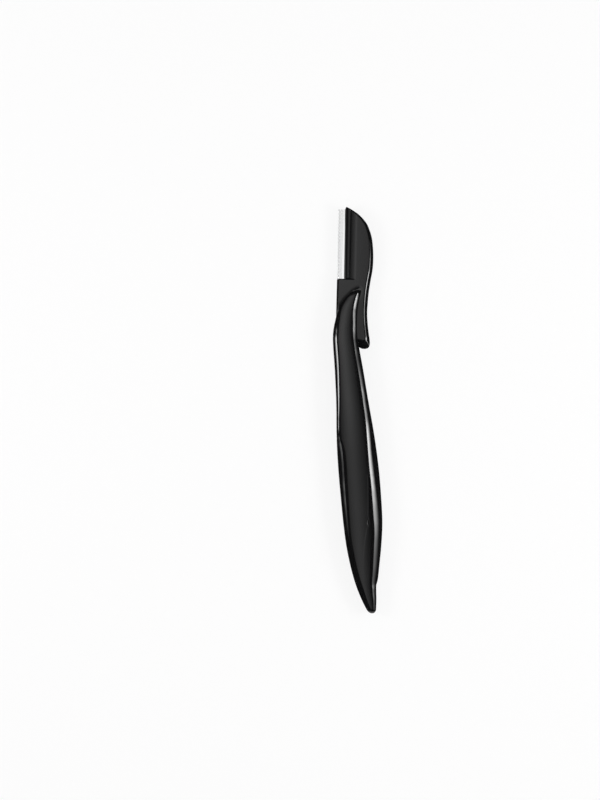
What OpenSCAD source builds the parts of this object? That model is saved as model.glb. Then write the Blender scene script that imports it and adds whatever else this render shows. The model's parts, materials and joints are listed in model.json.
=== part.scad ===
// Folding eyebrow razor. Two glossy shells make a slim sculpted handle. A blade head
// swings on a hidden steel pin out of a slot that opens along the handle's left side.
// The razor lies on its back with the head open: +Z faces up, +Y runs from the tail to
// the blade end, and the origin is on the surface below, in the middle of the outline.

/* [Handle] */
// Length of the handle from its tail tip to its horn tip
handle_l = 120; // [116:1:130]
// Width of the handle where it is widest
handle_w = 14.9; // [14.5:0.1:16]
// Thickness of the handle where it is thickest
handle_t = 8.8; // [8.4:0.1:10]
// Height of the horn tip above the hinge axis
horn_rise = 12.8; // [12.4:0.1:13.2]
// Radius of the rounded tail tip
tail_r = 1.6; // [1.2:0.1:1.9]
// Rise of the softly domed faces above their edges
face_crown = 0.5; // [0.2:0.05:0.7]
// Depth of the flat land that the handle rests on
land_depth = 0.12; // [0.08:0.01:0.16]
// Height of the upright rim beside the parting line
rim_h = 0.3; // [0.2:0.05:0.5]

/* [Shells] */
// Side wall left around the hollows in the handle
shell_wall = 2; // [1.8:0.1:2.4]
// Thickness of the ribs between the hollows
rib_t = 2.4; // [2.2:0.1:3]
// Solid length between the head pocket and the first hollow
bulkhead_t = 5; // [4:0.5:7]
// Solid length at the tail
tail_solid = 11; // [10:0.5:16]
// Number of hollows in each shell
hollow_count = 3; // [2:1:4]
// Diameter of the locating posts
post_d = 1.5; // [1.2:0.1:1.7]
// Height of the locating posts above the parting line
post_h = 1.2; // [0.8:0.1:1.4]
// Gap around and above a locating post in its socket
post_gap = 0.05; // [0.03:0.01:0.1]

/* [Hinge] */
// Diameter of the hinge pin
pin_d = 2; // [1.6:0.1:2.4]
// Depth that the pin enters each shell
pin_seat = 1.2; // [1:0.1:1.3]
// Gap around the pin in the shells and in the head
pin_gap = 0.04; // [0.03:0.01:0.08]
// Outer diameter of the two friction washers
washer_d = 4; // [3.4:0.1:4.2]
// Thickness of each friction washer
washer_t = 0.22; // [0.15:0.01:0.24]
// Gap between the head and each cheek of the slot
side_gap = 0.3; // [0.28:0.01:0.4]
// Lean of the open head against the handle
open_lean = 3.33; // [3:0.05:3.5]
// Angle that the head swings through from open to closed
fold_angle = 184; // [183.6:0.1:184.4]
// Diameter of the two stop lugs on the head's hub
lug_d = 1; // [0.8:0.05:1.1]
// Distance of the stop lugs from the hinge axis
lug_r = 2.8; // [2.75:0.01:2.9]
// Depth that a stop lug enters its groove
lug_h = 0.4; // [0.3:0.02:0.5]
// Gap around a stop lug in its groove
lug_gap = 0.1; // [0.06:0.01:0.15]
// Direction of the stop lugs from the hinge axis when open
lug_turn = 80; // [75:1:85]

/* [Head] */
// Length of the head from the hinge axis to its tip
head_l = 42.6; // [42:0.1:43]
// Width of the head from the guard edge to the top of its curved back
head_w = 13.2; // [13:0.1:13.3]
// Thickness of the head
head_t = 3; // [2.8:0.05:3.1]
// Width of the rounded edge along the head's back
head_round = 1.4; // [1:0.1:1.5]
// Radius of the hub around the hinge pin
hub_r = 4; // [3.9:0.02:4.04]
// Reach of the heel block to the blade side of the hinge axis
heel_x = 3.72; // [3.6:0.02:3.76]
// Height of the heel block's top above the hinge axis
heel_y = 16.1; // [15.8:0.1:16.4]
// Corner cut of the heel block
heel_chamfer = 0.35; // [0.2:0.05:0.5]
// Height of the lowered strip beside the blade, above the middle plane
strip_z = 0.75; // [0.6:0.05:0.9]
// Distance of the lowered strip's inner side from the hinge line
strip_x = 1.5; // [1.2:0.1:1.8]
// Radius of the hollow fillet at the lowered strip's inner side
strip_fillet = 1.5; // [1:0.1:1.7]
// Gap between the lowered strip's end and the heel block's top
strip_end = 0.5; // [0.3:0.1:0.8]

/* [Cover] */
// Width of the head left around the cover plate
cover_rim = 2.4; // [2.2:0.1:2.8]
// Length of cover plate below the blade
cover_below = 2.6; // [2:0.1:3.5]
// Length of the head left above the cover plate
cover_above = 1.7; // [1.6:0.1:2.2]
// Gap around the cover plate
cover_gap = 0.06; // [0.04:0.01:0.1]
// Diameter of the studs that hold the blade
stud_d = 1.5; // [1.2:0.1:1.6]
// Gap around the studs
stud_gap = 0.05; // [0.03:0.01:0.08]
// Number of studs
stud_count = 3; // [2:1:4]
// Distance of the studs from the hinge line
stud_x = 0.4; // [0.3:0.05:0.5]
// Depth of the stud ends below the cover plate's outer face
stud_sink = 0.12; // [0.05:0.01:0.2]

/* [Blade] */
// Thickness of the blade
blade_t = 0.2; // [0.15:0.01:0.25]
// Distance of the cutting edge from the hinge line
blade_x = 3.4; // [3.35:0.01:3.45]
// Distance of the blade's inner edge past the hinge line
blade_in = 1.9; // [1.8:0.05:2.2]
// Width of the ground bevel at the cutting edge
bevel_w = 0.5; // [0.3:0.05:0.7]
// Width of the clipped corner at the blade's top
clip_w = 3.2; // [3:0.1:3.4]
// Height of the clipped corner at the blade's top
clip_h = 4.2; // [4:0.1:5]
// Gap between the blade and the heel block
blade_gap = 0.15; // [0.1:0.01:0.2]
// Length of the bare tip of the head beyond the blade
tip_bare = 0.9; // [0.8:0.1:1.2]

/* [Guard] */
// Thickness of the guard foil
foil_t = 0.12; // [0.1:0.01:0.15]
// Distance of the guard's folded edge from the hinge line
guard_x = 3.72; // [3.68:0.01:3.76]
// Distance of the guard's inner edge past the hinge line
guard_in = 1.5; // [1.4:0.05:1.7]
// Length of the cut windows from the fold
window_l = 1.5; // [1.2:0.1:1.7]
// Width of the wires between the windows
wire_w = 0.45; // [0.35:0.05:0.6]
// Number of windows
window_count = 19; // [15:1:20]
// Length of the plain band at each end of the guard
guard_band = 0.55; // [0.4:0.05:0.8]

/* [Hidden] */

// Overrun of a cut past the face it opens
over = 1;
// Gap between the spine wall and the guard, and below the head's tip, when closed
pocket_gap = 0.4;
// Gap between the thumb lever's path and the top of the handle's spine
lever_gap = 1.1;
// Share of a narrow section's width that stays unrounded between its two edges
face_min_share = 0.2;
// Depth of the hollows as a share of the half thickness there
hollow_depth_share = 0.45;

// Handle outline, for stations from the tail tip to the horn tip:
// [share of the length, left edge and right edge as shares of the width from the hinge
// line, half thickness as a share of the thickness, left and right edge rounding as
// shares of the width, upright side as a share of the slot's half width]
handle_shares = [
  [0.000,  0.319, 0.493, 0.220, 0.20, 0.20, 0.10],
  [0.040,  0.168, 0.517, 0.270, 0.20, 0.26, 0.12],
  [0.075,  0.060, 0.522, 0.310, 0.20, 0.32, 0.15],
  [0.110, -0.024, 0.580, 0.345, 0.20, 0.36, 0.15],
  [0.150, -0.097, 0.622, 0.380, 0.21, 0.40, 0.15],
  [0.210, -0.178, 0.685, 0.430, 0.22, 0.42, 0.15],
  [0.277, -0.232, 0.728, 0.475, 0.22, 0.40, 0.15],
  [0.350, -0.271, 0.721, 0.500, 0.22, 0.35, 0.15],
  [0.450, -0.314, 0.681, 0.500, 0.22, 0.27, 0.20],
  [0.550, -0.329, 0.597, 0.500, 0.21, 0.22, 0.50],
  [0.650, -0.312, 0.484, 0.494, 0.19, 0.19, 0.50],
  [0.750, -0.320, 0.378, 0.472, 0.17, 0.16, 0.50],
  [0.840, -0.342, 0.274, 0.448, 0.15, 0.12, 0.50],
  [0.872, -0.322, 0.262, 0.438, 0.14, 0.11, 0.50],
  [0.902, -0.268, 0.272, 0.425, 0.13, 0.11, 0.50],
  [0.932, -0.190, 0.296, 0.400, 0.12, 0.10, 0.50],
  [0.964, -0.040, 0.346, 0.370, 0.10, 0.09, 0.50],
  [0.987,  0.155, 0.392, 0.330, 0.07, 0.06, 0.50],
  [1.000,  0.300, 0.400, 0.280, 0.04, 0.04, 0.50]];

// Head outline, for stations from the thumb lever's end to the head's tip:
// [share of the head's length, left edge and right edge as shares of the head's width,
// left and right edge rounding as shares of the rounded edge's width]
head_shares = [
  [-0.218,  0.490, 0.540, 0.15, 0.20],
  [-0.212,  0.430, 0.588, 0.40, 0.50],
  [-0.200,  0.352, 0.628, 0.50, 0.80],
  [-0.184,  0.270, 0.658, 0.60, 1.00],
  [-0.160,  0.152, 0.676, 0.60, 1.00],
  [-0.126,  0.030, 0.663, 0.60, 1.00],
  [-0.094, -0.060, 0.644, 0.40, 1.00],
  [ 0.000, -0.090, 0.604, 0.20, 1.00],
  [ 0.094, -0.090, 0.583, 0.20, 1.00],
  [ 0.188, -0.087, 0.594, 0.20, 1.00],
  [ 0.282, -0.082, 0.617, 0.20, 1.00],
  [ 0.376, -0.079, 0.659, 0.20, 1.00],
  [ 0.469, -0.083, 0.705, 0.20, 1.00],
  [ 0.563, -0.087, 0.716, 0.20, 1.00],
  [ 0.657, -0.091, 0.699, 0.20, 1.00],
  [ 0.751, -0.095, 0.652, 0.20, 1.00],
  [ 0.845, -0.098, 0.537, 0.20, 1.00],
  [ 0.892, -0.102, 0.430, 0.20, 1.00],
  [ 0.939, -0.104, 0.274, 0.20, 0.90],
  [ 0.981, -0.100, 0.068, 0.15, 0.60],
  [ 1.000, -0.072, -0.050, 0.05, 0.10]];

// Smooth curve through a table's column
function slope(t, i, c) =
  let (a = max(i - 1, 0), b = min(i + 1, len(t) - 1))
  (t[b][c] - t[a][c]) / (t[b][0] - t[a][0]);
function span(t, s, i = 0) =
  i >= len(t) - 2 || s < t[i + 1][0] ? i : span(t, s, i + 1);
function along(t, s, c) =
  let (i = span(t, s), d = t[i + 1][0] - t[i][0], u = (s - t[i][0]) / d)
  (2 * u^3 - 3 * u^2 + 1) * t[i][c] + (u^3 - 2 * u^2 + u) * slope(t, i, c) * d
  + (3 * u^2 - 2 * u^3) * t[i + 1][c] + (u^3 - u^2) * slope(t, i + 1, c) * d;

// Half of a rounded section from its right rim over the face to its left rim. The sides
// rise upright to the rim, turn on an ellipse quarter, and the face is softly domed.
// The steps are the points on each rounded edge and across the face.
arc_steps = 6;
face_steps = 4;
function rise(x, mid, half, h, crown) = h - crown * ((x - mid) / half)^2;
function section(left, right, round_l, round_r, rim, h, crown) =
  let (mid = (left + right) / 2, half = (right - left) / 2,
       fit = min(1, (1 - face_min_share) * 2 * half / (round_l + round_r)),
       rl = round_l * fit, rr = round_r * fit)
  concat(
    [[right, 0]],
    [for (i = [0 : arc_steps]) let (a = 90 * i / arc_steps, x = right - rr * (1 - cos(a)))
      [x, rim + (rise(x, mid, half, h, crown) - rim) * sin(a)]],
    [for (i = [1 : face_steps - 1])
      let (x = right - rr + (left + rl - right + rr) * i / face_steps)
      [x, rise(x, mid, half, h, crown)]],
    [for (i = [arc_steps : -1 : 0]) let (a = 90 * i / arc_steps, x = left + rl * (1 - cos(a)))
      [x, rim + (rise(x, mid, half, h, crown) - rim) * sin(a)]],
    [[left, 0]]);

// Skin over rings of equally many points, with flat ends fanned about their middles
function middle(r) = [for (c = [0 : 2]) (max([for (p = r) p[c]]) + min([for (p = r) p[c]])) / 2];
module skin(rings) {
  n = len(rings[0]);
  m = len(rings);
  polyhedron(
    points = concat([for (r = rings) for (p = r) p], [middle(rings[0]), middle(rings[m - 1])]),
    faces = concat(
      [for (i = [0 : n - 1]) let (k = (i + 1) % n)
        each [[m * n, k, i], [m * n + 1, (m - 1) * n + i, (m - 1) * n + k]]],
      [for (j = [0 : m - 2]) for (i = [0 : n - 1]) let (k = (i + 1) % n)
        each [[j * n + i, j * n + k, (j + 1) * n + k],
              [j * n + i, (j + 1) * n + k, (j + 1) * n + i]]]),
    convexity = 6);
}

// Handle sizes at a share of its length
slot_half = head_t / 2 + side_gap;
tail_y = horn_rise - handle_l;
function cap(s) = let (d = s * handle_l) d >= tail_r ? 1 : sqrt(1 - (1 - d / tail_r)^2);
function handle_mid(s) = handle_w * (along(handle_shares, s, 1) + along(handle_shares, s, 2)) / 2;
function handle_half(s) =
  cap(s) * handle_w * (along(handle_shares, s, 2) - along(handle_shares, s, 1)) / 2;
function handle_left(s) = handle_mid(s) - handle_half(s);
function handle_right(s) = handle_mid(s) + handle_half(s);
function handle_top(s) = cap(s) * handle_t * along(handle_shares, s, 3);
function handle_y(s) = tail_y + s * handle_l;
function handle_s(y) = (y - tail_y) / handle_l;
function handle_rim(s) =
  max(cap(s) * rim_h, slot_half * along(handle_shares, s, 6) * cap(s));
function handle_ring(s) =
  let (p = section(handle_left(s), handle_right(s),
                   handle_w * along(handle_shares, s, 4),
                   handle_w * along(handle_shares, s, 5),
                   handle_rim(s), handle_top(s),
                   face_crown * min(1, 2 * handle_half(s) / handle_w)))
  [for (q = p) [q[0], handle_y(s), q[1]]];
// Shares of the length at which the handle is sectioned: round the tail tip, evenly
// along the grip, and closer together on the horn
cap_share = tail_r / handle_l;
horn_share = 0.84;
grip_steps = 33;
horn_steps = 15;
handle_stations = concat(
  [for (a = [16, 32, 50, 70]) cap_share * (1 - cos(a))],
  [for (i = [0 : grip_steps]) cap_share + (horn_share - cap_share) * i / grip_steps],
  [for (i = [1 : horn_steps]) horn_share + (1 - horn_share) * i / horn_steps]);

// Head sizes at a share of its length
function head_left(s) = head_w * along(head_shares, s, 1);
function head_right(s) = head_w * along(head_shares, s, 2);
function head_ring(s) =
  let (p = section(head_left(s), head_right(s),
                   head_round * along(head_shares, s, 3),
                   head_round * along(head_shares, s, 4),
                   head_rim, head_t / 2, 0),
       n = len(p))
  concat([for (q = p) [q[0], s * head_l, q[1]]],
         [for (i = [n - 2 : -1 : 1]) [p[i][0], s * head_l, -p[i][1]]]);
// Upright side of the head's rounded edges, above the middle plane
head_rim = 0.15;
// Shares of the length at which the head is sectioned: along the lever, along the blade,
// and closer and closer together towards the tip
lever_share = head_shares[0][0];
tip_share = 0.8;
lever_steps = 9;
blade_steps = 16;
tip_steps = 12;
head_stations = concat(
  [for (i = [0 : lever_steps]) lever_share * (1 - i / lever_steps)],
  [for (i = [1 : blade_steps]) tip_share * i / blade_steps],
  [for (i = [1 : tip_steps]) tip_share + (1 - tip_share) * sin(90 * i / tip_steps)]);

// Planes and places that the pieces share
foil_z = blade_t / 2 + foil_t;
far = handle_l;
pocket_r = head_l + pocket_gap;
close_lean = fold_angle - 180 - open_lean;
lever_reach = max([for (s = [lever_share : 0.01 : 0]) norm([head_right(s), s * head_l])]);
spine_y = lever_reach + lever_gap;
blade_bottom = heel_y + blade_gap;
blade_top = head_l - tip_bare;
cover_bottom = heel_y - cover_below;
cover_top = head_l - cover_above;
stud_bottom = blade_bottom + 2 * stud_d;
stud_top = blade_top - clip_h - stud_d;

// Place of the hinge axis, which puts the origin below the middle of the open razor
function turned_x(s, x) = x * cos(open_lean) + s * head_l * sin(open_lean);
function turned_y(s, x) = s * head_l * cos(open_lean) - x * sin(open_lean);
function side_inset(s, z) =
  handle_w * along(handle_shares, s, 4)
  * (1 - sqrt(1 - ((z - handle_rim(s)) / (handle_top(s) - face_crown - handle_rim(s)))^2));
x_min = min([for (s = handle_stations)
  handle_left(s) + (handle_y(s) > -pocket_r ? side_inset(s, slot_half) : 0)]);
x_max = max(concat([for (s = handle_stations) handle_right(s)],
                   [for (s = head_stations) turned_x(s, head_right(s))]));
y_max = max([for (s = head_stations)
             max(turned_y(s, head_left(s)), turned_y(s, head_right(s)))]);
hinge_x = -(x_min + x_max) / 2;
hinge_y = -(y_max + handle_y(handle_stations[0])) / 2;
hinge_z = handle_t / 2 - land_depth;

module placed() {
  translate([hinge_x, hinge_y, hinge_z]) children();
}

module head_placed() {
  placed() rotate([0, 0, -open_lean]) children();
}

// Plan of the pocket that the head folds into, open to the left and around the hinge.
// Its right wall runs along the closed guard.
function spine_x(y) = (guard_x + pocket_gap) / cos(close_lean) - y * tan(close_lean);
module pocket_plan() {
  intersection() {
    circle(r = pocket_r, $fn = 96);
    polygon([[-far, 0], [spine_x(0), 0], [spine_x(-far), -far], [-far, -far]]);
  }
  translate([-far, -spine_y]) square([2 * far, far]);
}

// Arc groove in a cheek, which a stop lug runs along from open to closed
module lug_groove() {
  end = asin((lug_d / 2 + lug_gap) / lug_r);
  rotate([0, 0, lug_turn - end])
    rotate_extrude(angle = fold_angle + 2 * end, $fn = 96)
      translate([lug_r - lug_d / 2 - lug_gap, 0])
        square([lug_d + 2 * lug_gap, slot_half + lug_h + lug_gap]);
}

// Plan of one hollow between two heights, a wall inside the outline
module hollow_plan(y0, y1) {
  steps = 8;
  polygon(concat(
    [for (i = [0 : steps]) let (y = y0 + (y1 - y0) * i / steps)
      [handle_right(handle_s(y)) - shell_wall, y]],
    [for (i = [steps : -1 : 0]) let (y = y0 + (y1 - y0) * i / steps)
      [handle_left(handle_s(y)) + shell_wall, y]]));
}

hollow_top = -pocket_r - bulkhead_t;
hollow_l = (hollow_top - tail_y - tail_solid - (hollow_count - 1) * rib_t) / hollow_count;
function hollow_y(i) = hollow_top - (i + 1) * hollow_l - i * rib_t;

// Places of the locating posts: one in the spine, one in the bulkhead, one in each rib
// and one in the solid tail
function mid_at(y) = [handle_mid(handle_s(y)), y];
spine_post_y = -(spine_y + pocket_r) / 2;
post_places = concat(
  [[(spine_x(spine_post_y) + handle_right(handle_s(spine_post_y))) / 2, spine_post_y]],
  [mid_at(-pocket_r - bulkhead_t / 2)],
  [for (i = [0 : hollow_count - 2]) mid_at(hollow_y(i) - rib_t / 2)],
  [mid_at(tail_y + tail_solid * 2 / 3)]);

// One shell, above the middle plane, with its pocket, hollows and blind pin bore
module shell() {
  difference() {
    skin([for (s = handle_stations) handle_ring(s)]);
    translate([0, 0, -over]) linear_extrude(over + slot_half) pocket_plan();
    for (i = [0 : hollow_count - 1]) {
      depth = hollow_depth_share * handle_top(handle_s(hollow_y(i)));
      translate([0, 0, -over]) linear_extrude(over + depth)
        hollow_plan(hollow_y(i), hollow_y(i) + hollow_l);
    }
    cylinder(d = pin_d + 2 * pin_gap, h = slot_half + pin_seat + pin_gap, $fn = 48);
    lug_groove();
  }
}

module handle_front() {
  color([0.02, 0.02, 0.022])
  placed() {
    shell();
    for (p = post_places)
      translate([p[0], p[1], -post_h]) cylinder(d = post_d, h = post_h + over, $fn = 32);
  }
}

module handle_back() {
  color([0.02, 0.02, 0.022])
  placed()
  difference() {
    mirror([0, 0, 1]) shell();
    for (p = post_places)
      translate([p[0], p[1], -post_h - post_gap])
        cylinder(d = post_d + 2 * post_gap, h = post_h + over, $fn = 32);
    translate([-far, -far, -handle_t]) cube([2 * far, 2 * far, handle_t / 2 + land_depth]);
  }
}

module pivot_pin() {
  pin_l = 2 * (slot_half + pin_seat);
  color([0.6, 0.6, 0.62])
  placed() translate([0, 0, -pin_l / 2]) cylinder(d = pin_d, h = pin_l, $fn = 48);
}

// Friction washer centred in the gap between the head and a cheek
module washer(side) {
  z = side * (head_t + side_gap) / 2;
  placed() translate([0, 0, z - washer_t / 2])
  difference() {
    cylinder(d = washer_d, h = washer_t, $fn = 48);
    translate([0, 0, -over])
      cylinder(d = pin_d + 2 * pin_gap, h = washer_t + 2 * over, $fn = 48);
  }
}

module washer_front() {
  color([0.7, 0.7, 0.7]) washer(1);
}

module washer_back() {
  color([0.7, 0.7, 0.7]) washer(-1);
}

// Plan of the cover plate, grown by a gap on all sides but the blade side
module cover_plan(gap) {
  steps = 16;
  y0 = cover_bottom - gap;
  y1 = cover_top + gap;
  polygon(concat(
    [[-heel_x - over, y0]],
    [for (i = [0 : steps]) let (y = y0 + (y1 - y0) * i / steps)
      [max(head_right(y / head_l) - cover_rim, head_left(y / head_l) + cover_rim / 4) + gap, y]],
    [[-heel_x - over, y1]]));
}

// Places of the studs along the blade
stud_places = [for (i = [0 : stud_count - 1])
  [stud_x, stud_bottom + (stud_top - stud_bottom) * i / (stud_count - 1)]];

// Plan of the blade or the guard, with its top corner clipped
module strip_plan(outer, inner) {
  polygon([[-outer, blade_bottom], [inner, blade_bottom], [inner, blade_top - clip_h],
           [inner - clip_w, blade_top], [-outer, blade_top]]);
}

// Profile of the lowered strip, with a hollow fillet up to the face
module strip_profile() {
  rise_h = head_t / 2 - strip_z;
  polygon(concat(
    [[-heel_x - over, strip_z], [strip_x, strip_z]],
    [for (a = [15 : 15 : 90])
      [strip_x + strip_fillet * sin(a), strip_z + rise_h * (1 - cos(a))]],
    [[strip_x + strip_fillet, head_t], [-heel_x - over, head_t]]));
}

module heel_plan() {
  polygon([[-heel_x, 0], [-heel_x, heel_y - heel_chamfer], [heel_chamfer - heel_x, heel_y],
           [hub_r, heel_y], [hub_r, 0]]);
}

module head_body() {
  color([0.02, 0.02, 0.022])
  head_placed() {
    difference() {
      union() {
        skin([for (s = head_stations) head_ring(s)]);
        translate([0, 0, -head_t / 2]) linear_extrude(head_t) heel_plan();
        translate([0, 0, -head_t / 2]) cylinder(r = hub_r, h = head_t, $fn = 72);
      }
      translate([0, 0, -head_t]) cylinder(d = pin_d + 2 * pin_gap, h = 2 * head_t, $fn = 48);
      translate([0, 0, -foil_z - head_t]) linear_extrude(head_t) cover_plan(cover_gap);
      translate([0, 0, -foil_z - over]) linear_extrude(2 * foil_z + over)
        strip_plan(guard_x + over, blade_in + blade_gap);
      translate([0, heel_y + strip_end + far, 0]) rotate([90, 0, 0])
        linear_extrude(far) strip_profile();
    }
    for (side = [-1, 1])
      rotate([0, 0, lug_turn + open_lean])
        translate([lug_r, 0, side > 0 ? 0 : -slot_half - lug_h])
          cylinder(d = lug_d, h = slot_half + lug_h, $fn = 32);
    for (p = stud_places)
      translate([p[0], p[1], stud_sink - head_t / 2])
        cylinder(d = stud_d, h = head_t / 2 - stud_sink + strip_z - foil_t, $fn = 32);
  }
}

module head_cover() {
  color([0.02, 0.02, 0.022])
  head_placed()
  difference() {
    translate([0, 0, -head_t / 2]) linear_extrude(head_t / 2 - foil_z)
      intersection() {
        cover_plan(0);
        polygon(concat(
          [for (i = [0 : 12]) let (s = (cover_bottom + (cover_top - cover_bottom) * i / 12) / head_l)
            [s * head_l < heel_y ? -heel_x : head_left(s), s * head_l]],
          [[head_w, cover_top], [head_w, cover_bottom]]));
      }
    for (p = stud_places)
      translate([p[0], p[1], -head_t]) cylinder(d = stud_d + 2 * stud_gap, h = head_t, $fn = 32);
  }
}

module blade() {
  color([0.8, 0.8, 0.82])
  head_placed()
  difference() {
    translate([0, 0, -blade_t / 2]) linear_extrude(blade_t) strip_plan(blade_x, blade_in);
    for (p = stud_places)
      translate([p[0], p[1], -blade_t]) cylinder(d = stud_d + 2 * stud_gap, h = 2 * blade_t, $fn = 32);
    for (side = [0, 1])
      mirror([0, 0, side]) translate([-blade_x, blade_top + over, 0]) rotate([90, 0, 0])
        linear_extrude(blade_top - blade_bottom + 2 * over)
          polygon([[-over, 0], [0, blade_t / 10], [bevel_w, blade_t / 2],
                   [bevel_w, blade_t], [-over, blade_t]]);
  }
}

module guard() {
  windows_l = blade_top - blade_bottom - 2 * guard_band;
  pitch = (windows_l + wire_w) / window_count;
  color([0.85, 0.85, 0.87])
  head_placed()
  difference() {
    translate([0, 0, -foil_z]) linear_extrude(2 * foil_z) strip_plan(guard_x, guard_in);
    translate([foil_t - guard_x, blade_bottom - over, -blade_t / 2])
      cube([guard_x + guard_in + over, blade_top - blade_bottom + 2 * over, blade_t]);
    for (p = stud_places)
      translate([p[0], p[1], -head_t]) cylinder(d = stud_d + 2 * stud_gap, h = 2 * head_t, $fn = 32);
    for (i = [0 : window_count - 1])
      translate([-guard_x - over, blade_bottom + guard_band + i * pitch, -head_t])
        cube([window_l + over, pitch - wire_w, 2 * head_t]);
  }
}

handle_front();
handle_back();
pivot_pin();
washer_front();
washer_back();
head_body();
head_cover();
blade();
guard();
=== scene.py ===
"""Looks of a folding eyebrow razor: glossy black shells and blade head, a perforated steel
guard, ground steel fittings and a plain white studio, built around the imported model."""

import json

import bmesh
import bpy
import numpy as np
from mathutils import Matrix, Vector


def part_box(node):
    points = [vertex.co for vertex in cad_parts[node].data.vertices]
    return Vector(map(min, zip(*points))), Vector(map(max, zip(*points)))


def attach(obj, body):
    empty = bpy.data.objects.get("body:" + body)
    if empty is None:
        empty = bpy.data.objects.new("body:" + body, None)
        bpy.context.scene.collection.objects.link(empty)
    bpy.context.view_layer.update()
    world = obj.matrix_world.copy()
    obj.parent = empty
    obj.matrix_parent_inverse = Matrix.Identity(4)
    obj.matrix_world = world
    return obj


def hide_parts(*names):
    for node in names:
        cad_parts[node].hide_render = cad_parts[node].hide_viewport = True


bl_info = {
    "name": "Folding eyebrow razor",
    "version": (1, 0, 0),
    "blender": (4, 5, 0),
    "location": "3D View > Sidebar > Razor",
    "description": "Builds the pieces, finishes and studio of a folding eyebrow razor",
    "category": "Add Mesh",
}

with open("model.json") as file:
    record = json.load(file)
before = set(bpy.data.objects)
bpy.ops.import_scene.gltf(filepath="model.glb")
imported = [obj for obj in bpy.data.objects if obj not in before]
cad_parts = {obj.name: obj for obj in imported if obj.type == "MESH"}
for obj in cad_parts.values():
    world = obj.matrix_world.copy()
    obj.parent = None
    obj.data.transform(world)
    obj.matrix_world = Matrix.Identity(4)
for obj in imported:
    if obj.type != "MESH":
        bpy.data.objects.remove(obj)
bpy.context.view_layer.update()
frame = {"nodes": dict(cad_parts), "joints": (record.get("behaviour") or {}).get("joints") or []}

MM = 0.001
DEGREE = np.pi / 180
HINGE = np.array(frame["joints"][0]["pos_m"])
SHELL_LOW, SHELL_HIGH = (np.array(corner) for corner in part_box("handle_front"))
HANDLE_L = SHELL_HIGH[1] - SHELL_LOW[1]
TAIL_Y = SHELL_LOW[1] - HINGE[1]

# Swing of the head from open to closed, place and play of the stop lugs, play of the posts,
# clipped corner of the blade and guard along the head and across it
SWING = 184 * DEGREE
LUG_ANGLE, LUG_GAP = 80 * DEGREE, 0.1 * MM
POST_GAP = 0.05 * MM
CLIP_LONG, CLIP_WIDE = 4.2 * MM, 3.2 * MM

# Handle outline, for stations from the tail tip to the horn tip: share of the length, left
# and right edge as shares of the width, half thickness as a share of the thickness, place
# of the crease as a share of the width
HANDLE_SHARES = np.array([
    [0.000, 0.319, 0.493, 0.220, 0.40],
    [0.040, 0.168, 0.517, 0.270, 0.33],
    [0.075, 0.060, 0.522, 0.310, 0.26],
    [0.088, 0.027, 0.529, 0.322, 0.24],
    [0.098, 0.003, 0.556, 0.333, 0.23],
    [0.110, -0.024, 0.578, 0.345, 0.22],
    [0.150, -0.097, 0.622, 0.380, 0.215],
    [0.210, -0.178, 0.685, 0.430, 0.258],
    [0.277, -0.232, 0.728, 0.475, 0.351],
    [0.350, -0.271, 0.721, 0.500, 0.388],
    [0.450, -0.314, 0.681, 0.500, 0.40],
    [0.550, -0.329, 0.597, 0.500, 0.39],
    [0.650, -0.312, 0.484, 0.494, 0.27],
    [0.750, -0.320, 0.378, 0.472, 0.15],
    [0.840, -0.342, 0.274, 0.448, 0.05],
    [0.872, -0.322, 0.262, 0.438, 0.04],
    [0.902, -0.268, 0.272, 0.431, 0.07],
    [0.932, -0.190, 0.296, 0.423, 0.14],
    [0.964, -0.040, 0.346, 0.406, 0.22],
    [0.987, 0.155, 0.394, 0.372, 0.31],
    [1.000, 0.280, 0.410, 0.262, 0.38]])

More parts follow.
